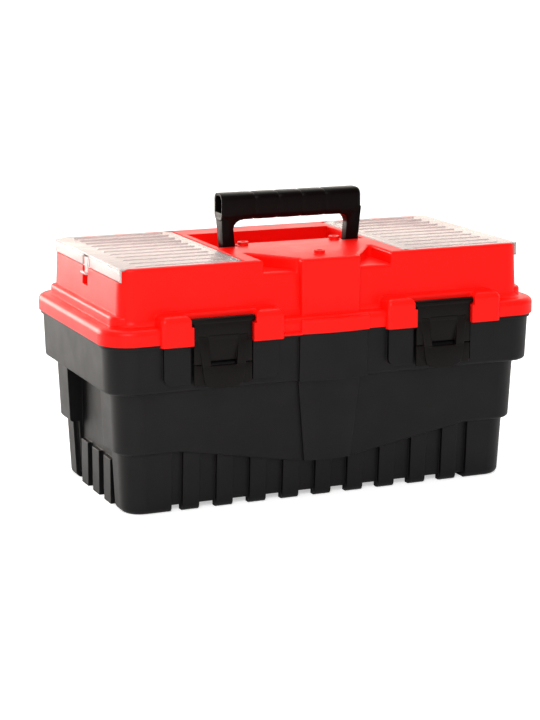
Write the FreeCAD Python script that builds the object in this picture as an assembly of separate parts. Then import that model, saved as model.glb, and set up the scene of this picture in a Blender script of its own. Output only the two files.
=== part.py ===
"""Toolbox with a lift-out tray, two lid organizers, two latches and a folding carry handle.

Millimetres. +X runs along the box, the front faces -Y and +Z is up. The origin is the
middle of the base, on the floor. The lid is shut, the latches hang closed, the organizer
covers are shut, the tray sits on its ledge and the carry handle stands up.
"""
import FreeCAD, Part
import math
import os

Vector = FreeCAD.Vector

# ---- overall size -------------------------------------------------------------------
length = 462.0            # along X, over the lid flange
depth = 256.0             # along Y, latch housings to hinge barrels
height = 242.0            # floor to the top of the lid
lid_height = 71.0         # parting plane to the top of the lid
wall = 2.5                # moulded wall of the bin and the lid
seat_gap = 0.3            # gap between pieces that rest on each other across a joint
housing_proud = 6.0       # latch housings and hinge barrels beyond the flange, front and back
corner_radius = 30.0      # plan corner of the flange

# ---- bin ----------------------------------------------------------------------------
bead_inset = 1.8          # rim bead behind the flange face
bead_height = 3.2
upper_inset = 4.0         # the three bands of the bin step in below the flange
middle_inset = 15.0
lower_inset = 23.0
upper_draft = 1.5         # how much each band narrows towards its foot
middle_draft = 3.5
lower_draft = 3.0
upper_band = 48.0         # heights of the upper and the lower band
lower_band = 61.0
band_round = 3.0          # lower edges of the bands
foot_round = 6.0          # lower edges of the feet
chevron_drop = 21.0       # the middle band dips this far in the middle of its long sides
chevron_flat = 34.0       # half width of the flat bottom of the dip
chevron_half = 152.0      # half width of the whole dip
floor_under = 5.5         # the floor stands this far above the feet
rib_depth = 4.0           # foot ribs stand proud of the core wall
rib_pitch = 35.0
rib_width = 17.0
corner_block = 48.0       # plain corner of the lower band, along X, from its end face
side_block = 38.0         # the same along Y
recess_half = 53.0        # hand recess in each end, half its width
recess_depth = 16.0       # hand recess behind the middle band
end_rib_top = 45.0
end_rib_proud = 4.5
pad_height = 37.0         # raised pads under the latch housings
pad_proud = 4.0

# ---- front bulge --------------------------------------------------------------------
bulge_half = 36.0
bulge_edge = 3.0          # how far the bulge stands out at its sides
bulge_middle = 6.0        # and in its middle
bulge_foot_half = 25.0    # half width where the bulge meets the chevron

# ---- lid ----------------------------------------------------------------------------
flange_height = 16.0
flange_round = 6.0
flange_cove = 6.0         # between the top of the flange and the block
block_inset_end = 20.0    # end wall of the lid block behind the flange face
block_inset_side = 17.0
block_draft = 3.0
block_radius = 14.0
block_round = 3.0
plinth_out = 8.0          # step at the foot of each end wall
plinth_height = 26.0      # above the parting plane
deck = 2.4                # thickness of the lid's inner walls and floors
panel_half = 31.5         # front panel between the notches
panel_proud = 9.0
notch_half = 68.0         # outer wall of the notches beside the panel
notch_back = 46.0         # how far the notches run back from the front of the block
notch_depth = 12.0
notch_round = 4.0         # front edge of the notch floors
panel_round = 2.5
boss_radius = 5.5
boss_high = 3.0
boss_spread = 50.0
boss_front = 20.0         # the front boss behind the front of the block

# ---- carry handle -------------------------------------------------------------------
handle_half = 76.5        # half length over the grip
grip_high = 27.0
grip_deep = 20.0
grip_wall = 2.6
handle_rise = 64.0        # pivot axis to the top of the grip
handle_y = -10.0
pivot_below_top = 11.0    # pivot axis below the lid top
post_wide = 14.0
post_deep = 10.0
post_taper = 3.5          # the posts lean in towards the pivot
pivot_disc = 7.0
trunnion_radius = 4.0
trunnion_length = 4.4
pivot_clearance = 0.06
handle_side_gap = 2.5     # grip to the wall of the trough
trough_floor_gap = 2.4    # folded grip to the floor of the trough
finger_room = 18.0        # behind the folded grip
rail = 5.5                # between the trough and the organizer wells

# ---- organizers ---------------------------------------------------------------------
well_depth = 38.0         # floor of the organizer wells below the lid top
well_corner = 3.0
cover_side_inset = 4.0    # cover edge behind the front and back faces of the block
cover_thick = 2.2
cover_gap = 0.3
cover_ledge = 2.5         # the cover's front and back edges rest on this ledge
skirt_height = 13.0
skirt_thick = 2.0
cover_barrel = 3.0        # radius of the cover's hinge edge
cover_pin = 1.6
cover_pin_length = 2.2
cover_rib_count = 11
cover_rib_high = 0.8
cover_rib_wide = 2.0
snap_wide = 14.0
snap_drop = 7.0           # the snap tongue below the skirt
snap_lip = 4.0
snap_recess = 18.0        # recess in the end wall below the skirt
organizer_dividers = 3
divider_thick = 1.8
divider_slack = 0.2

# ---- latches ------------------------------------------------------------------------
latch_x = 117.0
latch_half = 29.5
latch_side_gap = 1.0
latch_bar_half = 32.5     # the hinge bar is wider than the plate
latch_bar_radius = 3.3
latch_axis_above = 20.0   # axis above the parting plane
latch_axis_in = 6.5       # axis behind the housing faces
latch_plate = 2.8
latch_drop = 62.0         # axis to the bottom of the plate
latch_tongue_half = 22.0
latch_tongue_proud = 2.4
latch_tongue_over = 3.0   # the tongue reaches below the plate
latch_slot_half = 13.0
latch_slot_high = 4.4
latch_slot_below = 21.0   # slot below the parting plane
housing_width = 33.0
housing_top = 27.5        # above the parting plane
housing_skirt = 2.0       # below the parting plane
housing_round = 6.5
latch_trunnion = 2.5
latch_trunnion_length = 6.0
catch_half = 14.0
catch_rise = 10.0         # height of the catch's ramp
catch_tip_below = 25.0    # catch tip below the parting plane
catch_proud = 3.0         # catch tip in front of the band
catch_ramp = 0.116        # slope of the ramp under the tip
hook_gap = 0.15
hook_below_tip = 8.0

# ---- lid hinges ---------------------------------------------------------------------
hinge_x = 117.0
barrel_radius = 4.5
bin_knuckle = 20.0
lid_knuckle = 12.0
knuckle_gap = 0.4
pin_radius = 1.5
pin_fit_bin = 0.02
pin_fit_lid = 0.06

# ---- tray ---------------------------------------------------------------------------
tray_height = 28.0
tray_side_gap = 3.5       # tray foot to the inside of the upper band, at the ledge
tray_foot = 2.5           # thickness of the foot that rests on the ledge
tray_lid_gap = 2.5        # tray walls to the inside of the lid block
tray_wall = 2.0
tray_grip_half = 62.0
tray_grip_top = 42.0      # above the tray's underside
tray_hole_half = 45.0
tray_hole_low = 15.0
tray_hole_high = 35.0
tray_spine = 2.4
tray_grip_thick = 12.0
tray_divider_x = 76.0
guide_size = 1.5
tray_divider_drop = 3.0   # divider top below the tray rim

# ---- levels and half sizes that follow ----------------------------------------------
parting = height - lid_height
flange_x = length / 2
flange_y = depth / 2 - housing_proud
front_y = -depth / 2
shoulder = parting - upper_band
block_x = flange_x - block_inset_end
block_y = flange_y - block_inset_side
floor_top = floor_under + wall
pivot_z = height - pivot_below_top
trough_x = handle_half + handle_side_gap
trough_floor = pivot_z - grip_deep / 2 - trough_floor_gap
trough_front = handle_y + pivot_disc - 1.0
trough_back = handle_y + handle_rise + finger_room
pocket_front = handle_y - pivot_disc - 1.5
pocket_inner = handle_half - post_taper - post_wide - 3.0
well_in = trough_x + rail
well_out = block_x - skirt_thick - cover_gap - deck
cover_y = block_y - cover_side_inset
well_y = cover_y - cover_ledge
well_floor = height - well_depth
cover_axis_x = well_in + cover_gap + cover_barrel + 0.2
cover_axis_z = height - cover_barrel
latch_axis_y = front_y + latch_axis_in
latch_axis_z = parting + latch_axis_above
hinge_y = depth / 2 - barrel_radius
tray_bottom = shoulder + wall + seat_gap
foot_x = flange_x - upper_inset - upper_draft - wall - tray_side_gap
foot_y = flange_y - upper_inset - upper_draft - wall - tray_side_gap
tray_x = block_x - wall - tray_lid_gap
tray_y = block_y - wall - tray_lid_gap
slot_back = latch_axis_y + latch_bar_radius + 1.6
slot_step = latch_axis_z - latch_bar_radius - 1
bar_slot = latch_bar_half + 0.5
plate_slot = latch_half + latch_side_gap
X_AXIS = Vector(1, 0, 0)
SIDES = (("left", -1), ("right", 1))


# ---- shape helpers ------------------------------------------------------------------
def box(x0, x1, y0, y1, z0, z1):
    """Box between two corners, given in any order."""
    low = Vector(min(x0, x1), min(y0, y1), min(z0, z1))
    return Part.makeBox(abs(x1 - x0), abs(y1 - y0), abs(z1 - z0), low)


def rod(radius, start, end):
    """Round bar from one point to another."""
    return Part.makeCylinder(radius, (end - start).Length, start, end - start)


def outline(half_x, half_y, radius, z):
    """Rounded rectangle about the vertical axis, at height z."""
    corners = ((1, 1, 0), (-1, 1, 90), (-1, -1, 180), (1, -1, 270))
    edges = []
    last = None
    first = None
    for sign_x, sign_y, start in corners:
        centre = Vector(sign_x * (half_x - radius), sign_y * (half_y - radius), z)
        points = []
        for turn in (0, 45, 90):
            angle = math.radians(start + turn)
            points.append(centre + Vector(radius * math.cos(angle), radius * math.sin(angle), 0))
        if last is None:
            first = points[0]
        else:
            edges.append(Part.makeLine(last, points[0]))
        edges.append(Part.Arc(*points).toShape())
        last = points[2]
    edges.append(Part.makeLine(last, first))
    return Part.Wire(edges)


def drafted(half_x, half_y, radius, z0, z1, draft=0.0):
    """Rounded block whose foot is smaller than its top by the draft on each side."""
    foot = outline(half_x - draft, half_y - draft, radius - draft / 2, z0)
    top = outline(half_x, half_y, radius, z1)
    return Part.makeLoft([foot, top], True, True)


def prism(points, shift):
    """Flat polygon pushed along a vector."""
    loop = Part.makePolygon(points + [points[0]])
    return Part.Face(loop).extrude(shift)


def rounded(shape, radius, test):
    """Fillet the edges whose bounding box passes the test."""
    return shape.makeFillet(radius, [edge for edge in shape.Edges if test(edge.BoundBox)])


def both_sides(shape):
    """The shape and its mirror image across X = 0."""
    return [shape, shape.mirror(Vector(0, 0, 0), X_AXIS)]


def fused(shapes):
    """One solid from many."""
    return shapes[0].multiFuse(shapes[1:]).removeSplitter()


def save(name, shape):
    """Write one node."""
    solids = shape.Solids
    if not shape.isValid() or not solids:
        raise ValueError(name + " is not a valid solid")
    print(name, len(solids), round(shape.Volume), shape.BoundBox)
    keep = solids[0] if len(solids) == 1 else Part.makeCompound(solids)
    keep.exportStep("parts/" + name + ".step")


# ---- bin ----------------------------------------------------------------------------
def chevron_prism(lift, reach):
    """Everything below the dipping lower edge of the middle band, as one long prism."""
    top = lower_band + lift
    dip = top - chevron_drop
    profile = [
        (-reach, top), (-chevron_half, top), (-chevron_flat, dip), (chevron_flat, dip),
        (chevron_half, top), (reach, top), (reach, dip - 5), (-reach, dip - 5),
    ]
    points = [Vector(x, -reach, z) for x, z in profile]
    return prism(points, Vector(0, 2 * reach, 0))


def bands(inset, rib_inset):
    """The stepped bands of the bin, shrunk by an inset for the inside of the walls."""
    radius = corner_radius - inset / 2
    upper_x = flange_x - upper_inset - inset
    upper_y = flange_y - upper_inset - inset
    upper_foot = shoulder + inset
    upper = drafted(upper_x, upper_y, radius - 3, upper_foot, parting - bead_height / 2, upper_draft)
    middle_x = flange_x - middle_inset - inset
    middle_y = flange_y - middle_inset - inset
    middle_foot = lower_band - chevron_drop + inset
    middle = drafted(middle_x, middle_y, radius - 5, middle_foot, shoulder + inset, middle_draft)
    middle = middle.cut(chevron_prism(inset, length))
    lower_x = flange_x - lower_inset - inset - rib_inset
    lower_y = flange_y - lower_inset - inset - rib_inset
    lower_foot = floor_under + inset
    lower = drafted(lower_x, lower_y, radius - 8, lower_foot, lower_band + inset, lower_draft)
    return [upper, middle, lower]


def rounded_bands():
    """The outer bands with their lower edges rounded."""
    upper, middle, lower = bands(0, rib_depth)
    upper = rounded(upper, band_round, lambda b: b.ZMax < shoulder + 0.05)
    middle = middle.removeSplitter()
    middle = rounded(middle, band_round, lambda b: b.ZMax < lower_band + 0.05 and b.YLength < depth / 2
                     or b.ZMax < lower_band + 0.05 and b.XMin > block_x
                     or b.ZMax < lower_band + 0.05 and b.XMax < -block_x)
    lower = rounded(lower, band_round, lambda b: b.ZMax < floor_under + 0.05)
    return [upper, middle, lower]


def foot_ribs():
    """Vertical ribs and corner blocks of the lower band; their ends are the feet."""
    half_x = flange_x - lower_inset
    half_y = flange_y - lower_inset
    shell = drafted(half_x, half_y, corner_radius - 8, 0, lower_band, lower_draft)
    shell = rounded(shell, foot_round, lambda b: b.ZMax < 0.05)
    keep = []
    for sign_x in (-1, 1):
        for sign_y in (-1, 1):
            inner_x = sign_x * (half_x - corner_block)
            inner_y = sign_y * (half_y - side_block)
            keep.append(box(inner_x, sign_x * length, inner_y, sign_y * depth, 0, lower_band))
    reach = half_x - corner_block - rib_width
    count = int(reach // rib_pitch)
    for index in range(-count, count + 1):
        middle = index * rib_pitch
        for sign_y in (-1, 1):
            inner_y = sign_y * (half_y - rib_depth - 10)
            low_x = middle - rib_width / 2
            keep.append(box(low_x, low_x + rib_width, inner_y, sign_y * depth, 0, lower_band))
    return shell.common(fused(keep))


def recess(extra):
    """Hand recesses in both ends, grown by a wall for the liner inside the bin."""
    face = flange_x - middle_inset - recess_depth - extra
    half = recess_half + extra
    return both_sides(box(face, length, -half, half, -1, shoulder))


def end_ribs():
    """Short ribs in the foot of each hand recess."""
    face = flange_x - middle_inset - recess_depth
    shapes = []
    for index in (-1, 0, 1):
        middle = index * rib_pitch
        half = (rib_width + 3) / 2
        rib = box(face - wall, face + end_rib_proud, middle - half, middle + half, 0, end_rib_top)
        shapes += both_sides(rib)
    return shapes


def bulge_outline(half, y_edge, y_middle, z):
    """Plan shape of the front bulge: straight sides and a bowed front."""
    back = y_edge + 12
    left = Vector(-half, y_edge, z)
    right = Vector(half, y_edge, z)
    front = Part.Arc(left, Vector(0, y_middle, z), right).toShape()
    back_right = Vector(half, back, z)
    back_left = Vector(-half, back, z)
    edges = [
        front, Part.makeLine(right, back_right),
        Part.makeLine(back_right, back_left), Part.makeLine(back_left, left),
    ]
    return Part.Wire(edges)


def bulge(half_low, half_high, y_low, y_high, z0, z1):
    """Front bulge standing on a wall at y_low below and y_high above."""
    low = bulge_outline(half_low, y_low - bulge_edge, y_low - bulge_middle, z0)
    high = bulge_outline(half_high, y_high - bulge_edge, y_high - bulge_middle, z1)
    return Part.makeLoft([low, high], True, True)


def bin_bulges():
    """The bulge carried down over the upper and the middle band."""
    upper_y = -(flange_y - upper_inset)
    middle_y = -(flange_y - middle_inset)
    upper_z = parting - seat_gap
    upper = bulge(bulge_half, bulge_half, upper_y + upper_draft, upper_y, shoulder, upper_z)
    foot = lower_band - chevron_drop
    narrow = bulge_half - 3
    middle = bulge(bulge_foot_half, narrow, middle_y + middle_draft, middle_y, foot, shoulder)
    return [upper, middle]


def latch_pads():
    """Raised pads under the latch housings."""
    face = -(flange_y - upper_inset)
    top = parting - seat_gap - housing_skirt
    foot = parting - pad_height - 3
    near = latch_half + 2
    far = latch_half + housing_width - 4
    shapes = []
    for side in (-1, 1):
        pad = box(side * near, side * far, face + 6, face - pad_proud, foot, top)
        outer = max(near, far) * side
        low = foot + 0.1
        pad = rounded(pad, 8, lambda b: b.ZMax < low and abs(b.XMax - outer) < 0.01 and b.YLength > 1)
        shapes.append(pad.translated(Vector(latch_x, 0, 0)))
    return [mirrored for pad in shapes for mirrored in both_sides(pad)]


def catches():
    """The catch lips that hold the latch hooks: a tip with a long ramp below it."""
    face = -(flange_y - upper_inset)
    tip_y = face - catch_proud
    tip_z = parting - catch_tip_below
    ramp_y = tip_y + catch_ramp * catch_rise
    profile = [
        (face + 4, tip_z + 6), (face, tip_z + 6), (tip_y, tip_z),
        (ramp_y, tip_z - catch_rise), (face + 4, tip_z - catch_rise),
    ]
    points = [Vector(latch_x - catch_half, y, z) for y, z in profile]
    return both_sides(prism(points, Vector(2 * catch_half, 0, 0)))


def along_hinge(x0, x1, radius):
    """Round bar on the lid hinge axis."""
    return rod(radius, Vector(x0, hinge_y, parting), Vector(x1, hinge_y, parting))


def lid_knuckle_spans(margin):
    """The X spans of the lid knuckles on one hinge, widened by a margin."""
    inner = bin_knuckle / 2 + knuckle_gap
    outer = inner + lid_knuckle
    return [
        (hinge_x - outer - margin, hinge_x - inner + margin),
        (hinge_x + inner - margin, hinge_x + outer + margin),
    ]


def bin_hinges():
    """Bin knuckles with the webs that carry them."""
    half = bin_knuckle / 2
    shapes = []
    barrel = along_hinge(hinge_x - half, hinge_x + half, barrel_radius)
    web_points = [
        Vector(hinge_x - half, flange_y - upper_inset - 2, parting),
        Vector(hinge_x - half, hinge_y + barrel_radius - 0.4, parting),
        Vector(hinge_x - half, flange_y - upper_inset - 2, parting - 3 * barrel_radius),
    ]
    web = prism(web_points, Vector(bin_knuckle, 0, 0))
    web = web.common(box(0, length, 0, hinge_y, 0, parting))
    for shape in (barrel, web):
        shapes += both_sides(shape)
    return shapes


def make_bin():
    """The black bin."""
    bead_x = flange_x - bead_inset
    bead_y = flange_y - bead_inset
    rim = parting - seat_gap
    bead = drafted(bead_x, bead_y, corner_radius - 1, rim - bead_height, rim, 0)
    shell = fused([bead] + rounded_bands() + [foot_ribs()])
    shell = fused([shell] + bin_bulges() + latch_pads() + catches() + bin_hinges())
    for notch in recess(0):
        shell = shell.cut(notch)
    shell = fused([shell] + end_ribs())
    upper, middle, lower = bands(wall, rib_depth)
    mouth_x = flange_x - upper_inset - wall
    mouth_y = flange_y - upper_inset - wall
    mouth = drafted(mouth_x, mouth_y, corner_radius - 4, parting - bead_height, parting + 1, 0)
    cavity = upper.multiFuse([middle, lower, mouth])
    for liner in recess(wall):
        cavity = cavity.cut(liner)
    shell = shell.cut(cavity)
    for x0, x1 in lid_knuckle_spans(knuckle_gap):
        for relief in both_sides(along_hinge(x0, x1, barrel_radius + 0.7)):
            shell = shell.cut(relief)
    for bore in both_sides(along_hinge(hinge_x - 30, hinge_x + 30, pin_radius + pin_fit_bin)):
        shell = shell.cut(bore)
    save("bin", shell)


# ---- lid ----------------------------------------------------------------------------
def latch_housings():
    """Housings that carry the latch bars: two ears joined by the wall behind the bar."""
    outer = latch_half + housing_width
    top = parting + housing_top
    foot = parting - housing_skirt
    inner_y = -(block_y - 2)
    bridge = box(-outer + 5, outer - 5, slot_back, inner_y, parting, top)
    shapes = both_sides(rounded(bridge, 1.5, lambda b: b.ZMin > top - 0.1 and b.YMax < slot_back + 0.1
                                ).translated(Vector(latch_x, 0, 0)))
    for side in (-1, 1):
        ear = box(side * bar_slot, side * outer, front_y, inner_y, foot, top)
        outer_x = side * outer
        ear = rounded(ear, 4, lambda b: b.ZLength > 15 and b.YMax < front_y + 0.1
                      and abs(b.XMax - outer_x) < 0.1)
        ear = rounded(ear, housing_round, lambda b: b.ZMin > top - 0.1 and b.YMin < inner_y - 1)
        cheek = box(side * plate_slot, side * (bar_slot + 1), front_y, slot_back + 1, foot, slot_step)
        under = box(-outer - 1, outer + 1, -(flange_y + 0.3), 0, foot - 1, parting)
        whole = ear.fuse(cheek).cut(under)
        shapes += both_sides(whole.translated(Vector(latch_x, 0, 0)))
    return shapes


def latch_slots():
    """The opening between the ears, wider at the bar than at the plate."""
    upper = box(-bar_slot, bar_slot, front_y - 1, slot_back, slot_step, parting + flange_height + 6)
    lower = box(-plate_slot, plate_slot, front_y - 1, slot_back, parting - 5, slot_step + 1)
    slot = fused([upper, lower])
    return both_sides(slot.translated(Vector(latch_x, 0, 0)))


def latch_trunnion_holes():
    """Blind holes for the latch trunnions."""
    reach = latch_bar_half + latch_trunnion_length + 0.5
    start = Vector(latch_x - reach, latch_axis_y, latch_axis_z)
    end = Vector(latch_x + reach, latch_axis_y, latch_axis_z)
    return both_sides(rod(latch_trunnion + pivot_clearance, start, end))


def housing_cores():
    """The hollows moulded inside the latch housings, open to the underside."""
    shapes = []
    near = latch_bar_half + latch_trunnion_length + 2.5
    far = latch_half + housing_width - 3
    for side in (-1, 1):
        core = box(side * near, side * far, front_y + 3, -(block_y - 4), parting, parting + housing_top - 9)
        shapes.append(core.translated(Vector(latch_x, 0, 0)))
    return [mirrored for core in shapes for mirrored in both_sides(core)]


def flange_and_block():
    """The flange and the block on it, with the cove between them."""
    flange_top = parting + flange_height
    flange = drafted(flange_x, flange_y, corner_radius, parting, flange_top, 0)
    flange = rounded(flange, flange_round, lambda b: b.ZMin > flange_top - 0.1)
    block_foot_x = block_x + block_draft
    block_foot_y = block_y + block_draft
    foot = outline(block_foot_x, block_foot_y, block_radius + 2, parting + 2)
    top = outline(block_x, block_y, block_radius, height)
    shape = fused([flange, Part.makeLoft([foot, top], True, True)])
    return rounded(shape, flange_cove, lambda b: abs(b.ZMin - flange_top) < 0.01
                   and b.ZLength < 0.01 and b.XMax < block_foot_x and b.XMin > -block_foot_x
                   and b.YMax < block_foot_y and b.YMin > -block_foot_y)


def lid_outer():
    """Flange, plinths, block, front panel and bulge of the lid, still solid."""
    panel_y = -block_y - panel_proud
    panel = box(-panel_half, panel_half, panel_y, -block_y + 8, parting + 2, height)
    panel = rounded(panel, panel_round, lambda b: b.ZLength > 1 and b.YMax < panel_y + 0.1)
    shape = fused([flange_and_block(), panel])
    for cut in notch(0, notch_depth):
        shape = shape.cut(cut)
    shape = shape.removeSplitter()
    notch_floor = height - notch_depth
    shape = rounded(shape, notch_round, lambda b: abs(b.ZMin - notch_floor) < 0.01
                    and b.ZLength < 0.01 and b.YMax < -block_y)
    shape = rounded(shape, block_round, lambda b: b.ZMin > height - 0.01)
    plinth_top = parting + plinth_height
    plinth = drafted(block_x + plinth_out, block_y - 1, block_radius, parting + 2, plinth_top, 0)
    plinth = rounded(plinth, 3, lambda b: b.ZMin > plinth_top - 0.1)
    front = bulge(bulge_half, bulge_half, -flange_y, -flange_y, parting, parting + flange_height - 2)
    return fused([shape, plinth, front] + latch_housings())


def notch(grow, depth_below):
    """Three-cornered notches beside the front panel."""
    front = -block_y - panel_proud - 2
    back = -block_y + notch_back + grow
    low = height - depth_below
    points = [
        Vector(notch_half + grow, front, low), Vector(notch_half + grow, back, low),
        Vector(notch_half - 3 - grow, back, low), Vector(panel_half + 1 - grow, -block_y - 1, low),
        Vector(panel_half + 1 - grow, front, low),
    ]
    return both_sides(prism(points, Vector(0, 0, depth_below + 1)))


def well(x0, x1, half_y, z0, z1):
    """One organizer well or its liner, on both sides."""
    shape = box(x0, x1, -half_y, half_y, z0, z1)
    shape = rounded(shape, well_corner, lambda b: b.ZLength > 10)
    return both_sides(shape)


def trough(grow, floor):
    """The trough that takes the folded handle, with the pockets for its posts."""
    half = trough_x + grow
    main = box(-half, half, trough_front - grow, trough_back + grow, floor, height + 1)
    pocket = box(pocket_inner - grow, half, pocket_front - grow, trough_front + 1, floor, height + 1)
    return [main] + both_sides(pocket)


def lid_hollow():
    """The inside of the lid, minus the liners of the wells, trough and notches."""
    flange_top = parting + flange_height
    low = parting - 1
    inner_x = flange_x - wall
    inner_y = flange_y - wall
    under_flange = drafted(inner_x, inner_y, corner_radius - wall, low, flange_top - wall, 0)
    block_radius_in = block_radius - wall
    under_block = drafted(block_x - wall, block_y - wall, block_radius_in, low, height - deck, 0)
    plinth_x = block_x + plinth_out - wall
    plinth_top = parting + plinth_height - wall
    under_plinth = drafted(plinth_x, block_y - wall - 2, block_radius_in, low, plinth_top, 0)
    panel_in = panel_half - wall
    under_panel = box(-panel_in, panel_in, -block_y - panel_proud + wall, 0, low, height - deck)
    hollow = under_flange.multiFuse([under_block, under_plinth, under_panel] + housing_cores())
    liners = well(well_in - deck, well_out + deck, cover_y + 1, well_floor - deck, height)
    liners += trough(rail, trough_floor - deck)
    liners += notch(deck + 1, notch_depth + deck)
    back = slot_back + deck
    half = latch_bar_half + latch_trunnion_length + 2.5
    for side in (-1, 1):
        x = side * latch_x
        liners.append(box(x - half, x + half, front_y, back, parting - 5, parting + housing_top))
    for liner in liners:
        hollow = hollow.cut(liner)
    return hollow


def cover_rebates():
    """Rebates that the covers close into, and the cut-back end walls behind the skirts."""
    floor = height - cover_thick - cover_gap
    rebate = box(well_in, flange_x, -cover_y - cover_gap, cover_y + cover_gap, floor, height + 1)
    end = box(well_out + deck, flange_x, -cover_y - cover_gap, cover_y + cover_gap,
              height - skirt_height - cover_gap, height + 1)
    catch = box(block_x - 3.5, flange_x, -snap_wide / 2 - 1, snap_wide / 2 + 1,
                height - skirt_height - snap_recess, height - skirt_height)
    shapes = []
    for shape in (rebate, end, catch):
        shapes += both_sides(shape)
    return shapes


def cover_pin_holes():
    """Holes for the stub pins of the covers."""
    reach = well_y + cover_pin_length + 0.4
    start = Vector(cover_axis_x, -reach, cover_axis_z)
    end = Vector(cover_axis_x, reach, cover_axis_z)
    return both_sides(rod(cover_pin + pivot_clearance, start, end))


def divider_guides(x0, x1, y_middle, z0, z1, along_x):
    """Two pairs of guide ribs that hold a divider at both of its ends."""
    shapes = []
    offset = divider_thick / 2 + divider_slack
    for side in (-1, 1):
        low = y_middle + side * offset
        high = low + side * guide_size
        for end, inward in ((x0, 1), (x1, -1)):
            tip = end + inward * guide_size
            back = end - inward * 0.5
            if along_x:
                shapes.append(box(back, tip, low, high, z0, z1))
            else:
                shapes.append(box(low, high, back, tip, z0, z1))
    return shapes


def organizer_rows():
    """Y positions of the organizer dividers."""
    step = 2 * well_y / (organizer_dividers + 1)
    return [-well_y + step * (index + 1) for index in range(organizer_dividers)]


def organizer_guides():
    """Guide ribs in both organizer wells."""
    top = height - 2 * cover_barrel - 6
    shapes = []
    for row in organizer_rows():
        for guide in divider_guides(well_in, well_out, row, well_floor - 0.5, top, True):
            shapes += both_sides(guide)
    return shapes


def bosses():
    """Three ring bosses on the platform in front of the handle."""
    places = [(-boss_spread, handle_y), (boss_spread, handle_y), (0, -block_y + boss_front)]
    shapes = []
    for x, y in places:
        low = Vector(x, y, height - 1)
        ring = Part.makeCylinder(boss_radius, boss_high + 1, low)
        hole = Part.makeCylinder(boss_radius / 2, boss_high, Vector(x, y, height + 0.5))
        shapes.append(ring.cut(hole))
    return shapes


def lid_hinge_knuckles():
    """Lid knuckles behind the flange."""
    shapes = []
    for x0, x1 in lid_knuckle_spans(0):
        barrel = along_hinge(x0, x1, barrel_radius)
        web = box(x0, x1, flange_y - 1, hinge_y + 1, parting, parting + 3 * barrel_radius - 2)
        web = web.common(along_hinge(x0, x1, 2.6 * barrel_radius))
        for shape in (barrel, web):
            shapes += both_sides(shape)
    return shapes


def opening_lip():
    """Small finger lip under the flange, left of the bulge."""
    low_x = -(latch_x - latch_half - housing_width)
    return box(low_x - 1, -bulge_half, -flange_y + 2, -flange_y - 5, parting, parting + 2.2)


def make_lid():
    """The red lid shell."""
    shell = fused([lid_outer(), opening_lip()] + bosses())
    shell = shell.cut(lid_hollow())
    cuts = well(well_in, well_out, well_y, well_floor, height + 1)
    cuts += trough(0, trough_floor) + latch_slots()
    cuts += latch_trunnion_holes() + cover_rebates() + cover_pin_holes()
    pivot_start = Vector(trough_x - 1, handle_y, pivot_z)
    pivot_end = Vector(well_in + 1, handle_y, pivot_z)
    cuts += both_sides(rod(trunnion_radius + pivot_clearance, pivot_start, pivot_end))
    for cut in cuts:
        shell = shell.cut(cut)
    shell = fused([shell] + organizer_guides() + lid_hinge_knuckles())
    half = bin_knuckle / 2 + knuckle_gap
    for relief in both_sides(along_hinge(hinge_x - half, hinge_x + half, barrel_radius + 0.7)):
        shell = shell.cut(relief)
    for bore in both_sides(along_hinge(hinge_x - 30, hinge_x + 30, pin_radius + pin_fit_lid)):
        shell = shell.cut(bore)
    save("lid_shell", shell)


def make_hinge_pins():
    """Steel pins through the hinge knuckles."""
    half = bin_knuckle / 2 + knuckle_gap + lid_knuckle
    for name, side in SIDES:
        pin = along_hinge(side * hinge_x - half, side * hinge_x + half, pin_radius)
        save("lid_hinge_pin_" + name, pin)


# ---- carry handle -------------------------------------------------------------------
def handle_post():
    """One tapered post with its pivot disc and trunnion, on the right."""
    top_z = pivot_z + handle_rise - grip_high + 4
    corners = ((0, -1), (1, -1), (1, 1), (0, 1))
    wires = []
    for z, outer in ((pivot_z, handle_half - post_taper), (top_z, handle_half)):
        points = []
        for side_x, side_y in corners:
            x = outer - post_wide * (1 - side_x)
            points.append(Vector(x, handle_y + side_y * post_deep / 2, z))
        wires.append(Part.makePolygon(points + [points[0]]))
    post = Part.makeLoft(wires, True, True)
    inner = handle_half - post_taper - post_wide
    outer = trough_x - 0.5
    disc = rod(pivot_disc, Vector(inner, handle_y, pivot_z), Vector(outer, handle_y, pivot_z))
    tip = outer + trunnion_length
    trunnion = rod(trunnion_radius, Vector(outer - 1, handle_y, pivot_z), Vector(tip, handle_y, pivot_z))
    return [post, disc, trunnion]


def make_handle():
    """Carry handle: a hollow grip, open at its left end, on two posts."""
    top = pivot_z + handle_rise
    low = top - grip_high
    y0 = handle_y - grip_deep / 2
    y1 = handle_y + grip_deep / 2
    grip = box(-handle_half, handle_half, y0, y1, low, top)
    grip = rounded(grip, 6, lambda b: b.XLength > handle_half)
    core = box(-handle_half - 1, handle_half - grip_wall * 2, y0 + grip_wall, y1 - grip_wall,
               low + grip_wall, top - grip_wall)
    core = rounded(core, 4, lambda b: b.XLength > handle_half)
    shapes = [grip]
    for shape in handle_post():
        shapes += both_sides(shape)
    handle = fused(shapes).cut(core)
    save("carry_handle", handle)


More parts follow.
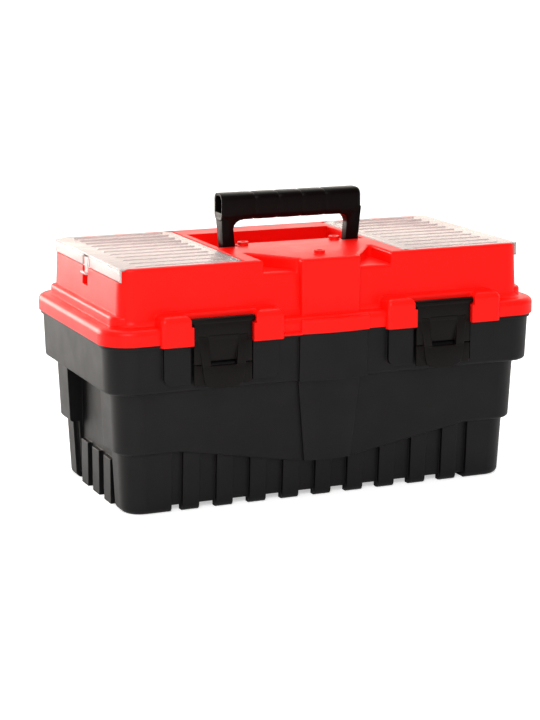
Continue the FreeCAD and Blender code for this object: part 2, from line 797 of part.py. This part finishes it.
# ---- organizer covers ---------------------------------------------------------------
def make_cover(name, side):
    """One clear cover, modelled on the right and mirrored for the left."""
    half = cover_y
    low = height - cover_thick
    barrel_end = well_y - well_corner - cover_gap
    plate = box(cover_axis_x, block_x, -half, half, low, height)
    barrel = rod(cover_barrel, Vector(cover_axis_x, -barrel_end, cover_axis_z),
                 Vector(cover_axis_x, barrel_end, cover_axis_z))
    reach = well_y + cover_pin_length
    pin = rod(cover_pin, Vector(cover_axis_x, -reach, cover_axis_z),
              Vector(cover_axis_x, reach, cover_axis_z))
    corner_x = cover_axis_x + cover_barrel + 0.4
    plate = plate.cut(box(0, corner_x, barrel_end, half + 1, 0, height + 1))
    plate = plate.cut(box(0, corner_x, -barrel_end, -half - 1, 0, height + 1))
    skirt_low = height - skirt_height
    skirt = box(block_x - skirt_thick, block_x, -half, half, skirt_low, height)
    shapes = [plate, barrel, pin, skirt]
    tongue_low = skirt_low - snap_drop
    shapes.append(box(block_x - skirt_thick, block_x, -snap_wide / 2, snap_wide / 2, tongue_low, height))
    wall_out = block_x + block_draft * (height - tongue_low) / (lid_height - 2) + cover_gap
    shapes.append(box(block_x - 0.5, block_x + snap_lip, -snap_wide / 2, snap_wide / 2,
                      tongue_low, tongue_low + 2))
    shapes.append(box(wall_out, block_x + snap_lip, -snap_wide / 2 - 2, snap_wide / 2 + 2,
                      tongue_low, tongue_low + 2))
    step = 2 * (half - 8) / (cover_rib_count - 1)
    for index in range(cover_rib_count):
        y = -half + 8 + index * step
        shapes.append(box(cover_axis_x + 8, block_x - 18, y - cover_rib_wide / 2, y + cover_rib_wide / 2,
                          height - 0.5, height + cover_rib_high))
    cover = fused(shapes)
    for edge in (-1, 1):
        y = edge * (snap_wide / 2 + 2)
        slot = box(block_x - 5, block_x + 5, y - 1.6, y + 1.6, skirt_low - 1, height - 3.5)
        cover = cover.cut(slot.common(box(0, length, -half, half, skirt_low + 2.5, height)))
    if side < 0:
        cover = cover.mirror(Vector(0, 0, 0), X_AXIS)
    save("organizer_cover_" + name, cover)


def make_organizer_dividers(name, side):
    """Lift-out dividers of one organizer."""
    top = height - 2 * cover_barrel - 1
    for number, row in enumerate(organizer_rows(), 1):
        low_y = row - divider_thick / 2
        high_y = row + divider_thick / 2
        x0 = well_in + divider_slack
        x1 = well_out - divider_slack
        divider = box(x0, x1, low_y, high_y, well_floor, top)
        if side < 0:
            divider = divider.mirror(Vector(0, 0, 0), X_AXIS)
        save("organizer_divider_" + name + "_" + str(number), divider)


# ---- latches ------------------------------------------------------------------------
def make_latch(name, side):
    """One latch: hinge bar, plate, raised tongue with a slot, and the hook behind."""
    outer_y = latch_axis_y - latch_bar_radius
    inner_y = outer_y + latch_plate
    low = latch_axis_z - latch_drop
    bar = rod(latch_bar_radius, Vector(-latch_bar_half, latch_axis_y, latch_axis_z),
              Vector(latch_bar_half, latch_axis_y, latch_axis_z))
    reach = latch_bar_half + latch_trunnion_length
    pin = rod(latch_trunnion, Vector(-reach, latch_axis_y, latch_axis_z),
              Vector(reach, latch_axis_y, latch_axis_z))
    plate = box(-latch_half, latch_half, outer_y, inner_y, low, latch_axis_z)
    tongue_low = low - latch_tongue_over
    tongue = box(-latch_tongue_half, latch_tongue_half, outer_y - latch_tongue_proud, inner_y,
                 tongue_low, latch_axis_z - 6)
    tongue = rounded(tongue, 12, lambda b: b.ZMax < tongue_low + 0.1 and b.YLength > 1)
    catch_tip_y = -(flange_y - upper_inset) - catch_proud
    tip_z = parting - catch_tip_below - hook_below_tip
    tip_y = catch_tip_y + catch_ramp * hook_below_tip - hook_gap
    profile = [(inner_y - 0.5, tip_z), (tip_y, tip_z), (inner_y - 0.5, tip_z - 5)]
    hook = prism([Vector(-catch_half + 1, y, z) for y, z in profile], Vector(2 * catch_half - 2, 0, 0))
    latch = fused([bar, pin, plate, tongue, hook])
    slot_z = parting - latch_slot_below
    slot = box(-latch_slot_half, latch_slot_half, front_y - 5, inner_y + 0.1,
               slot_z - latch_slot_high / 2, slot_z + latch_slot_high / 2)
    latch = latch.cut(slot).translated(Vector(side * latch_x, 0, 0))
    save("latch_" + name, latch)


# ---- tray ---------------------------------------------------------------------------
def make_tray():
    """Lift-out tray: two long rows beside a spine with a hand grip, on a wide flat foot."""
    low = tray_bottom
    top = low + tray_height
    radius = block_radius
    walls = drafted(tray_x, tray_y, radius, low, top, 0)
    foot = drafted(foot_x, foot_y, corner_radius - 9, low, low + tray_foot, 0)
    inner = drafted(tray_x - tray_wall, tray_y - tray_wall, radius - tray_wall, low + tray_wall, top + 1, 0)
    tray = fused([walls, foot]).cut(inner)
    spine_end = tray_x - tray_wall / 2
    spine = box(-spine_end, spine_end, -tray_spine / 2, tray_spine / 2, low + 1, top)
    raised = box(-tray_grip_half, tray_grip_half, -tray_spine / 2, tray_spine / 2, top - 1, low + tray_grip_top)
    bar_z = low + tray_grip_top - 3.5
    grip = box(-tray_grip_half, tray_grip_half, -tray_grip_thick / 2, tray_grip_thick / 2,
               bar_z - 3.5, bar_z + 3.5)
    grip = rounded(grip, 3, lambda b: b.XLength > tray_grip_half)
    hole = box(-tray_hole_half, tray_hole_half, -tray_grip_thick, tray_grip_thick,
               low + tray_hole_low, low + tray_hole_high)
    tray = fused([tray, spine, raised, grip]).cut(hole)
    guides = []
    for x in (-tray_divider_x, tray_divider_x):
        for y0, y1 in tray_rows():
            guides += divider_guides(y0, y1, x, low + tray_wall - 0.5, top - tray_divider_drop, False)
    save("tray", fused([tray] + guides))


def tray_rows():
    """Y spans of the tray's two rows."""
    near = tray_spine / 2
    far = tray_y - tray_wall
    return [(-far, -near), (near, far)]


def make_tray_dividers():
    """Lift-out dividers of the tray."""
    low = tray_bottom + tray_wall
    top = tray_bottom + tray_height - tray_divider_drop
    number = 1
    for x in (-tray_divider_x, tray_divider_x):
        for y0, y1 in tray_rows():
            divider = box(x - divider_thick / 2, x + divider_thick / 2,
                          y0 + divider_slack, y1 - divider_slack, low, top)
            save("tray_divider_" + str(number), divider)
            number += 1


# ---- build --------------------------------------------------------------------------
os.makedirs("parts", exist_ok=True)
make_bin()
make_lid()
make_hinge_pins()
make_handle()
for side_name, side_sign in SIDES:
    make_cover(side_name, side_sign)
    make_organizer_dividers(side_name, side_sign)
    make_latch(side_name, side_sign)
make_tray()
make_tray_dividers()
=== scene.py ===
"""Looks for the toolbox: moulded plastics, clear covers, refined latches and handle, studio and camera."""
import math

import bmesh
import bpy
from mathutils import Matrix, Vector


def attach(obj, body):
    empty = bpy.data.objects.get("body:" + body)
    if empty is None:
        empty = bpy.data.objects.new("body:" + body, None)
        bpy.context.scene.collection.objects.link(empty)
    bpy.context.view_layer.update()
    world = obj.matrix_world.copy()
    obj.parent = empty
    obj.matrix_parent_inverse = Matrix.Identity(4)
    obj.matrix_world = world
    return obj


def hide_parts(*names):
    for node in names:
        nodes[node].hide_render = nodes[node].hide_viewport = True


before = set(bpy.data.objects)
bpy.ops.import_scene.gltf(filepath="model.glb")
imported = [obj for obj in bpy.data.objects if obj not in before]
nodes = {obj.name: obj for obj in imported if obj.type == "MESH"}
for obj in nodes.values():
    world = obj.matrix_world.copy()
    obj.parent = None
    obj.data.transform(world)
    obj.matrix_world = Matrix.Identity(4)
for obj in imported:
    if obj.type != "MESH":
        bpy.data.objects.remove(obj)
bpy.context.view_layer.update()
mm = 0.001


# ---- material helpers ---------------------------------------------------------------
def new_material(name):
    """Empty node material with its output and principled shader."""
    material = bpy.data.materials.new(name)
    material.use_nodes = True
    tree = material.node_tree
    shader = tree.nodes["Principled BSDF"]
    return material, tree, shader


def link(tree, start, end):
    tree.links.new(start, end)


def noise(tree, scale, detail=3.0, roughness=0.5):
    """Noise on object coordinates."""
    coords = tree.nodes.new("ShaderNodeTexCoord")
    texture = tree.nodes.new("ShaderNodeTexNoise")
    texture.inputs["Scale"].default_value = scale
    texture.inputs["Detail"].default_value = detail
    texture.inputs["Roughness"].default_value = roughness
    link(tree, coords.outputs["Object"], texture.inputs["Vector"])
    return texture.outputs["Fac"]


def ramp(tree, value, low, high, start=0.3, end=0.7):
    """Maps a value to numbers between low and high."""
    node = tree.nodes.new("ShaderNodeMapRange")
    node.inputs["From Min"].default_value = start
    node.inputs["From Max"].default_value = end
    node.inputs["To Min"].default_value = low
    node.inputs["To Max"].default_value = high
    link(tree, value, node.inputs["Value"])
    return node.outputs["Result"]


def two_tone(tree, value, first, second):
    """Mixes two colours by a value."""
    mix = tree.nodes.new("ShaderNodeMix")
    mix.data_type = "RGBA"
    mix.inputs[6].default_value = (*first, 1)
    mix.inputs[7].default_value = (*second, 1)
    link(tree, value, mix.inputs[0])
    return mix.outputs[2]


def grain(tree, shader, scale, strength, edge):
    """Fine moulding grain over softened edges."""
    soft = tree.nodes.new("ShaderNodeBevel")
    soft.samples = 6
    soft.inputs["Radius"].default_value = edge
    bump = tree.nodes.new("ShaderNodeBump")
    bump.inputs["Strength"].default_value = strength
    bump.inputs["Distance"].default_value = 0.0004
    link(tree, noise(tree, scale, 2.0), bump.inputs["Height"])
    link(tree, soft.outputs["Normal"], bump.inputs["Normal"])
    link(tree, bump.outputs["Normal"], shader.inputs["Normal"])


def moulded_plastic(name, colour, darker, rough_low, rough_high, grain_strength, refraction, edge=0.0012):
    """Satin polypropylene with faint flow variation, uneven gloss and fine grain."""
    material, tree, shader = new_material(name)
    flow = noise(tree, 9.0, 4.0)
    link(tree, two_tone(tree, ramp(tree, flow, 0, 1), colour, darker), shader.inputs["Base Color"])
    gloss = noise(tree, 35.0, 3.0)
    link(tree, ramp(tree, gloss, rough_low, rough_high), shader.inputs["Roughness"])
    shader.inputs["IOR"].default_value = refraction
    grain(tree, shader, 1800.0, grain_strength, edge)
    return material


RED = moulded_plastic("red_polypropylene", (0.94, 0.0062, 0.0030), (0.90, 0.0052, 0.0024), 0.30, 0.38, 0.06, 1.24)
BLACK = moulded_plastic("black_polypropylene", (0.0028, 0.0022, 0.0024), (0.0020, 0.0016, 0.0018), 0.42, 0.52, 0.10, 1.32)
BLACK_SATIN = moulded_plastic("handle_polypropylene", (0.0036, 0.0020, 0.0018), (0.0030, 0.0016, 0.0014), 0.30, 0.38, 0.08, 1.18)


LATCH_BLACK = moulded_plastic("latch_polypropylene", (0.0050, 0.0036, 0.0030), (0.0040, 0.0028, 0.0022), 0.34,
                              0.44, 0.12, 1.22)


def clear_plastic():
    """Clear polypropylene with a milky body."""
    material, tree, shader = new_material("clear_polypropylene")
    link(tree, two_tone(tree, ramp(tree, noise(tree, 14.0), 0, 1), (1.0, 0.90, 0.885), (0.98, 0.86, 0.845)),
         shader.inputs["Base Color"])
    shader.inputs["Transmission Weight"].default_value = 0.72
    shader.inputs["IOR"].default_value = 1.45
    link(tree, ramp(tree, noise(tree, 60.0), 0.16, 0.26), shader.inputs["Roughness"])
    grain(tree, shader, 1500.0, 0.04, 0.0006)
    return material


def pin_steel():
    """Drawn steel wire."""
    material, tree, shader = new_material("drawn_steel")
    shader.inputs["Base Color"].default_value = (0.62, 0.62, 0.64, 1)
    shader.inputs["Metallic"].default_value = 1.0
    link(tree, ramp(tree, noise(tree, 400.0), 0.25, 0.4), shader.inputs["Roughness"])
    return material


CLEAR = clear_plastic()
STEEL = pin_steel()


def paint(node, material):
    """Gives every slot of a node one material."""
    mesh = nodes[node].data
    mesh.materials.clear()
    mesh.materials.append(material)
    for polygon in mesh.polygons:
        polygon.material_index = 0


paint("bin", BLACK)
paint("lid_shell", RED)
for node_name in nodes:
    if node_name.startswith("organizer_divider"):
        paint(node_name, RED)
    elif node_name.startswith("tray"):
        paint(node_name, BLACK)
    elif node_name.startswith("lid_hinge_pin"):
        paint(node_name, STEEL)


# ---- mesh helpers -------------------------------------------------------------------
def block(shape, low, high, soft=0.0, segments=3):
    """Box between two corners in millimetres, with softened edges."""
    low, high = Vector(low), Vector(high)
    verts = bmesh.ops.create_cube(shape, size=1)["verts"]
    bmesh.ops.scale(shape, vec=high - low, verts=verts)
    bmesh.ops.translate(shape, vec=(high + low) / 2, verts=verts)
    if soft:
        edges = list({edge for vert in verts for edge in vert.link_edges})
        bmesh.ops.bevel(shape, geom=edges, affect="EDGES", offset=soft, segments=segments, profile=0.5,
                        material=-1)


def pushed(shape, points, shift, soft=0.0):
    """Flat outline pushed along a vector into a solid, with softened edges."""
    face = shape.faces.new([shape.verts.new(point) for point in points])
    made = bmesh.ops.extrude_face_region(shape, geom=[face])["geom"]
    far = [item for item in made if isinstance(item, bmesh.types.BMVert)]
    bmesh.ops.translate(shape, vec=shift, verts=far)
    both = far + list(face.verts)
    if soft:
        edges = list({edge for vert in both for edge in vert.link_edges})
        made = bmesh.ops.bevel(shape, geom=edges, affect="EDGES", offset=soft, segments=3, profile=0.5,
                               material=-1)
        both = list({vert for vert in shape.verts if vert in set(made["verts"])})
    return both


def round_bar(shape, radius, half, centre, soft=0.0, start=None):
    """Round bar along X about a centre."""
    verts = bmesh.ops.create_cone(shape, cap_ends=True, segments=40, radius1=radius, radius2=radius,
                                  depth=2 * half)["verts"]
    bmesh.ops.rotate(shape, cent=(0, 0, 0), matrix=Matrix.Rotation(math.pi / 2, 3, "Y"), verts=verts)
    bmesh.ops.translate(shape, vec=centre, verts=verts)
    if soft:
        rims = [edge for edge in {edge for vert in verts for edge in vert.link_edges}
                if abs(edge.verts[0].co.x - edge.verts[1].co.x) < 1e-6]
        bmesh.ops.bevel(shape, geom=rims, affect="EDGES", offset=soft, segments=3, profile=0.5, material=-1)


def finish_piece(shape, name, node, body, material, flip=False):
    """Turns millimetres to metres and stands the piece in for its node."""
    if flip:
        bmesh.ops.scale(shape, vec=(-1, 1, 1), verts=shape.verts[:])
    bmesh.ops.scale(shape, vec=(mm, mm, mm), verts=shape.verts[:])
    bmesh.ops.remove_doubles(shape, verts=shape.verts[:], dist=1e-7)
    bmesh.ops.recalc_face_normals(shape, faces=shape.faces[:])
    for face in shape.faces:
        face.smooth = True
    for edge in shape.edges:
        edge.smooth = edge.calc_face_angle(0.0) < math.radians(35)
    mesh = bpy.data.meshes.new(name)
    shape.to_mesh(mesh)
    shape.free()
    mesh.materials.append(material)
    piece = bpy.data.objects.new(name, mesh)
    bpy.context.collection.objects.link(piece)
    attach(piece, body)
    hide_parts(node)
    return piece


# ---- carry handle -------------------------------------------------------------------
HANDLE_Y = -10.0
GRIP_MIDDLE = 281.5
GRIP_HALF = 76.5
FINGER_GROOVES = (-40.5, -15.0, 10.5, 36.0)


def grip_sleeve(shape):
    """Grip drawn out along X from a rounded rectangle, with finger grooves and an open left end."""
    verts = bmesh.ops.create_grid(shape, x_segments=1, y_segments=1, size=0.5)["verts"]
    bmesh.ops.scale(shape, vec=(27.0, 20.0, 1), verts=verts)
    bmesh.ops.bevel(shape, geom=verts, affect="VERTICES", offset=6.5, segments=7, profile=0.5, material=-1)
    bmesh.ops.rotate(shape, cent=(0, 0, 0), matrix=Matrix.Rotation(math.pi / 2, 3, "Y"), verts=shape.verts[:])
    bmesh.ops.translate(shape, vec=(-GRIP_HALF, HANDLE_Y, GRIP_MIDDLE), verts=shape.verts[:])
    first = shape.edges[:]
    bmesh.ops.delete(shape, geom=shape.faces[:], context="FACES_ONLY")

    def draw(ring, move, across, tall, lift=0.0):
        made = bmesh.ops.extrude_edge_only(shape, edges=ring)["geom"]
        verts = [item for item in made if isinstance(item, bmesh.types.BMVert)]
        centre = sum((vert.co for vert in verts), Vector()) / len(verts)
        bmesh.ops.scale(shape, vec=(1, across, tall), space=Matrix.Translation(-centre), verts=verts)
        bmesh.ops.translate(shape, vec=(move, 0, lift), verts=verts)
        return [item for item in made if isinstance(item, bmesh.types.BMEdge)
                and item.verts[0] in verts and item.verts[1] in verts]

    inner = draw(first, -0.0, 0.93, 0.95)
    inner = draw(inner, 0.4, 0.84, 0.85)
    inner = draw(inner, 58.0, 0.97, 0.97)
    bmesh.ops.edgeloop_fill(shape, edges=inner)
    ring = draw(first, 0.5, 1.008, 1.006)
    at = -GRIP_HALF + 0.5
    for groove in FINGER_GROOVES:
        ring = draw(ring, groove - 6.5 - at, 1.0, 1.0)
        ring = draw(ring, 5.4, 1.0, 0.985, -0.0)
        ring = draw(ring, 1.1, 0.965, 0.945)
        ring = draw(ring, 1.1, 1 / 0.965, 1 / 0.945)
        ring = draw(ring, 5.4, 1.0, 1 / 0.985)
        at = groove + 6.5
    ring = draw(ring, GRIP_HALF - 6 - at, 1.0, 1.0)
    across, tall = 10.0, 13.5
    last = 0.0
    for turn in (18, 36, 54, 72, 90):
        angle = math.radians(turn)
        shrink = 5 * (1 - math.cos(angle))
        ring = draw(ring, 6 * math.sin(angle) - last, (10 - shrink) / across, (13.5 - shrink) / tall)
        across, tall = 10 - shrink, 13.5 - shrink
        last = 6 * math.sin(angle)
    bmesh.ops.edgeloop_fill(shape, edges=ring)


def make_handle():
    """Carry handle: hollow grip on two posts that lean in to their pivots."""
    shape = bmesh.new()
    grip_sleeve(shape)
    outline = [(73, 226), (76.3, 276), (53, 276), (53, 268.4), (56.8, 267.8), (59.6, 266.2), (61.4, 263.4),
               (62.1, 259.5), (59, 226)]
    for side in (-1, 1):
        before = set(shape.verts)
        points = [(side * x, HANDLE_Y - 5.6, z) for x, z in outline]
        pushed(shape, points, (0, 11.2, 0), 1.1)
        for vert in set(shape.verts) - before:
            widen = min(max((vert.co.z - 259) / 10, 0), 1)
            vert.co.y = HANDLE_Y + (vert.co.y - HANDLE_Y) * (1 + 0.72 * widen * widen * (3 - 2 * widen))
        round_bar(shape, 7.0, 9.6, (side * 68.9, HANDLE_Y, 231), 0.8)
        round_bar(shape, 4.0, 3.0, (side * 79.9, HANDLE_Y, 231), 0.4)
    finish_piece(shape, "handle_with_grip", "carry_handle", "handle_body", BLACK_SATIN)


# ---- latches ------------------------------------------------------------------------
def make_latch(side):
    """Latch with its hinge bar, split wings, raised tongue, scoop and slot."""
    shape = bmesh.new()
    front = -124.7
    round_bar(shape, 3.3, 32.5, (0, -121.5, 191), 0.7)
    round_bar(shape, 2.5, 38.4, (0, -121.5, 191), 0.4)
    block(shape, (-29.5, front, 173.5), (29.5, -122, 190.5), 0.5)
    for hand in (-1, 1):
        inner, outer = hand * 14.8, hand * 29.5
        block(shape, (min(inner, outer), front, 149.9), (max(inner, outer), -122, 174.2), 0.5)
        block(shape, (min(inner, outer), front, 129.3), (max(inner, outer), -122, 149.3), 0.7)
        strip = [(hand * 25.0, 177), (hand * 24.2, 166), (hand * 22.0, 148), (hand * 13.2, 147.2),
                 (hand * 13.4, 152), (hand * 15.6, 176)]
        raised_panel(shape, [(x, z) for x, z in strip], front)
    lower = [(-22.0, 148.2), (-20.4, 136), (-18.8, 130.6), (-15.5, 127.9), (-9, 126.5), (0, 126.1), (9, 126.5),
             (15.5, 127.9), (18.8, 130.6), (20.4, 136), (22.0, 148.2)]
    raised_panel(shape, lower, front)
    scoop = [(-15.9, -124.9, 177), (15.9, -124.9, 177), (13.6, -123.4, 152.4), (-13.6, -123.4, 152.4)]
    pushed(shape, scoop, (0, 1.6, 0), 0.25)
    block(shape, (-15, -122.6, 174), (15, -122, 178), 0.0)
    hook = [(-13, -122.4, 138), (-13, -120.2, 138), (-13, -122.4, 133)]
    pushed(shape, hook, (26, 0, 0))
    bmesh.ops.translate(shape, vec=(-117 if side == "left" else 117, 0, 0), verts=shape.verts[:])
    finish_piece(shape, "latch_" + side + "_detailed", "latch_" + side, "latch_" + side + "_body",
                 LATCH_BLACK)


def raised_panel(shape, outline, front):
    """Panel of the tongue: level with the plate at its top and proud of it lower down."""
    before = set(shape.verts)
    pushed(shape, [(x, -122.0, z) for x, z in outline], (0, front + 122.0 - 0.1, 0), 0.45)
    for vert in set(shape.verts) - before:
        if vert.co.y < -123.5:
            slope = min(max((176 - vert.co.z) / 28, 0), 1)
            vert.co.y -= 2.3 * slope


# ---- organizer covers ---------------------------------------------------------------
def make_cover(side):
    """Clear cover: ribbed plate, skirt with a snap tongue, and hinge barrel."""
    shape = bmesh.new()
    block(shape, (88, -95.4, 239.9), (93, 95.4, 242), 0.4)
    block(shape, (91.6, -101, 239.8), (211, 101, 242), 0.9)
    for y0, y1 in ((-101, -11.5), (11.5, 101)):
        block(shape, (208.9, y0, 229), (211, y1, 241.7), 0.8)
    block(shape, (208.9, -12, 238.2), (211, 12, 241.6), 0.5)
    block(shape, (209.1, -12, 229), (210.8, 12, 230.2), 0.4)
    block(shape, (208.9, -5.6, 222), (211, 5.6, 241), 0.6)
    lip = [(210.4, -8.4, 222), (213.4, -9, 222), (214.8, -7.2, 222), (215, -3, 222), (215, 3, 222),
           (214.8, 7.2, 222), (213.4, 9, 222), (210.4, 8.4, 222)]
    pushed(shape, lip, (0, 0, 2), 0.5)
    for index in range(11):
        y = -93 + index * 18.6
        block(shape, (98, y - 1.0, 241.4), (193, y + 1.0, 242.8), 0.45)
    verts = bmesh.ops.create_cone(shape, cap_ends=True, segments=32, radius1=3, radius2=3, depth=190.8)["verts"]
    bmesh.ops.rotate(shape, cent=(0, 0, 0), matrix=Matrix.Rotation(math.pi / 2, 3, "X"), verts=verts)
    bmesh.ops.translate(shape, vec=(88, 0, 239), verts=verts)
    verts = bmesh.ops.create_cone(shape, cap_ends=True, segments=24, radius1=1.6, radius2=1.6, depth=201)["verts"]
    bmesh.ops.rotate(shape, cent=(0, 0, 0), matrix=Matrix.Rotation(math.pi / 2, 3, "X"), verts=verts)
    bmesh.ops.translate(shape, vec=(88, 0, 239), verts=verts)
    finish_piece(shape, "clear_cover_" + side, "organizer_cover_" + side, "cover_" + side + "_body",
                 CLEAR, side == "left")


make_handle()
for side_name in ("left", "right"):
    make_latch(side_name)
    make_cover(side_name)


# ---- studio -------------------------------------------------------------------------
def by_ray(tree, kinds):
    """Sum of strengths, one for each kind of ray."""
    rays = tree.nodes.new("ShaderNodeLightPath")
    total = None
    for name, strength in kinds:
        part = tree.nodes.new("ShaderNodeMath")
        part.operation = "MULTIPLY_ADD"
        part.inputs[1].default_value = strength
        part.inputs[2].default_value = 0
        link(tree, rays.outputs[name], part.inputs[0])
        if total is not None:
            link(tree, total, part.inputs[2])
        total = part.outputs[0]
    return rays, total


def make_floor():
    """Pale floor that reads white where nothing shades it."""
    shape = bmesh.new()
    bmesh.ops.create_grid(shape, x_segments=1, y_segments=1, size=25)
    mesh = bpy.data.meshes.new("floor")
    shape.to_mesh(mesh)
    shape.free()
    floor = bpy.data.objects.new("floor", mesh)
    bpy.context.collection.objects.link(floor)
    material, tree, shader = new_material("pale_floor")
    shader.inputs["Base Color"].default_value = (0.92, 0.92, 0.92, 1)
    shader.inputs["Roughness"].default_value = 0.9
    shader.inputs["Emission Color"].default_value = (1, 1, 1, 1)
    seen = by_ray(tree, (("Is Camera Ray", 0.5), ("Is Glossy Ray", 0.05), ("Is Transmission Ray", 0.5)))[1]
    link(tree, seen, shader.inputs["Emission Strength"])
    mesh.materials.append(material)


def make_world():
    """White surroundings, brightest behind the object and dim on the camera's side."""
    world = bpy.data.worlds.new("studio")
    bpy.context.scene.world = world
    world.use_nodes = True
    tree = world.node_tree
    background = tree.nodes["Background"]
    rays = tree.nodes.new("ShaderNodeLightPath")
    link(tree, two_tone(tree, rays.outputs["Is Glossy Ray"], (1, 1, 1), (1, 0.94, 0.84)),
         background.inputs["Color"])
    coords = tree.nodes.new("ShaderNodeTexCoord")
    axes = tree.nodes.new("ShaderNodeSeparateXYZ")
    link(tree, coords.outputs["Generated"], axes.inputs[0])
    behind = ramp(tree, axes.outputs["Y"], 0.12, 1.7, -0.2, 0.6)
    glossy = tree.nodes.new("ShaderNodeMix")
    glossy.inputs[2].default_value = 0.55
    link(tree, rays.outputs["Is Glossy Ray"], glossy.inputs[0])
    link(tree, behind, glossy.inputs[3])
    camera = tree.nodes.new("ShaderNodeMix")
    camera.inputs[3].default_value = 1.0
    link(tree, rays.outputs["Is Camera Ray"], camera.inputs[0])
    link(tree, glossy.outputs[0], camera.inputs[2])
    link(tree, camera.outputs[0], background.inputs["Strength"])


def area_light(name, place, aim, size, power, colour=(1, 1, 1)):
    """Soft square lamp aimed at a point."""
    lamp = bpy.data.lights.new(name, "AREA")
    lamp.shape = "RECTANGLE"
    lamp.size = size[0]
    lamp.size_y = size[1]
    lamp.energy = power
    lamp.color = colour
    holder = bpy.data.objects.new(name, lamp)
    holder.location = place
    direction = Vector(aim) - Vector(place)
    holder.rotation_euler = direction.to_track_quat("-Z", "Y").to_euler()
    bpy.context.collection.objects.link(holder)


def make_camera():
    """Long lens from the front left, a little above the lid."""
    azimuth = math.radians(23.43)
    elevation = math.radians(11.89)
    roll = math.radians(0.14)
    forward = Vector((math.sin(azimuth) * math.cos(elevation), math.cos(azimuth) * math.cos(elevation),
                      -math.sin(elevation)))
    side = Vector((math.cos(azimuth), -math.sin(azimuth), 0))
    up = side.cross(forward)
    right = side * math.cos(roll) + up * math.sin(roll)
    up = up * math.cos(roll) - side * math.sin(roll)
    target = Vector((0.0708, 0.1636, 0.0968))
    place = target - forward * 2.298
    data = bpy.data.cameras.new("camera")
    data.lens = 103.4
    data.sensor_width = 36
    data.shift_x = -0.0202
    data.shift_y = -0.0219
    camera = bpy.data.objects.new("camera", data)
    camera.matrix_world = Matrix((
        (right.x, up.x, -forward.x, place.x), (right.y, up.y, -forward.y, place.y),
        (right.z, up.z, -forward.z, place.z), (0, 0, 0, 1)))
    bpy.context.collection.objects.link(camera)
    bpy.context.scene.camera = camera


make_floor()
make_world()
area_light("key_softbox", (-0.9, -2.2, 1.7), (0, 0, 0.12), (1.4, 1.4), 46)
area_light("left_back_softbox", (-1.25, 1.9, 0.5), (-0.1, 0, 0.1), (1.5, 0.95), 44, (1, 0.93, 0.85))
area_light("top_softbox", (0.1, 0.5, 2.2), (0, 0, 0.2), (1.8, 1.8), 22)
make_camera()
bpy.context.scene.view_settings.view_transform = "Standard"

bpy.context.view_layer.update()
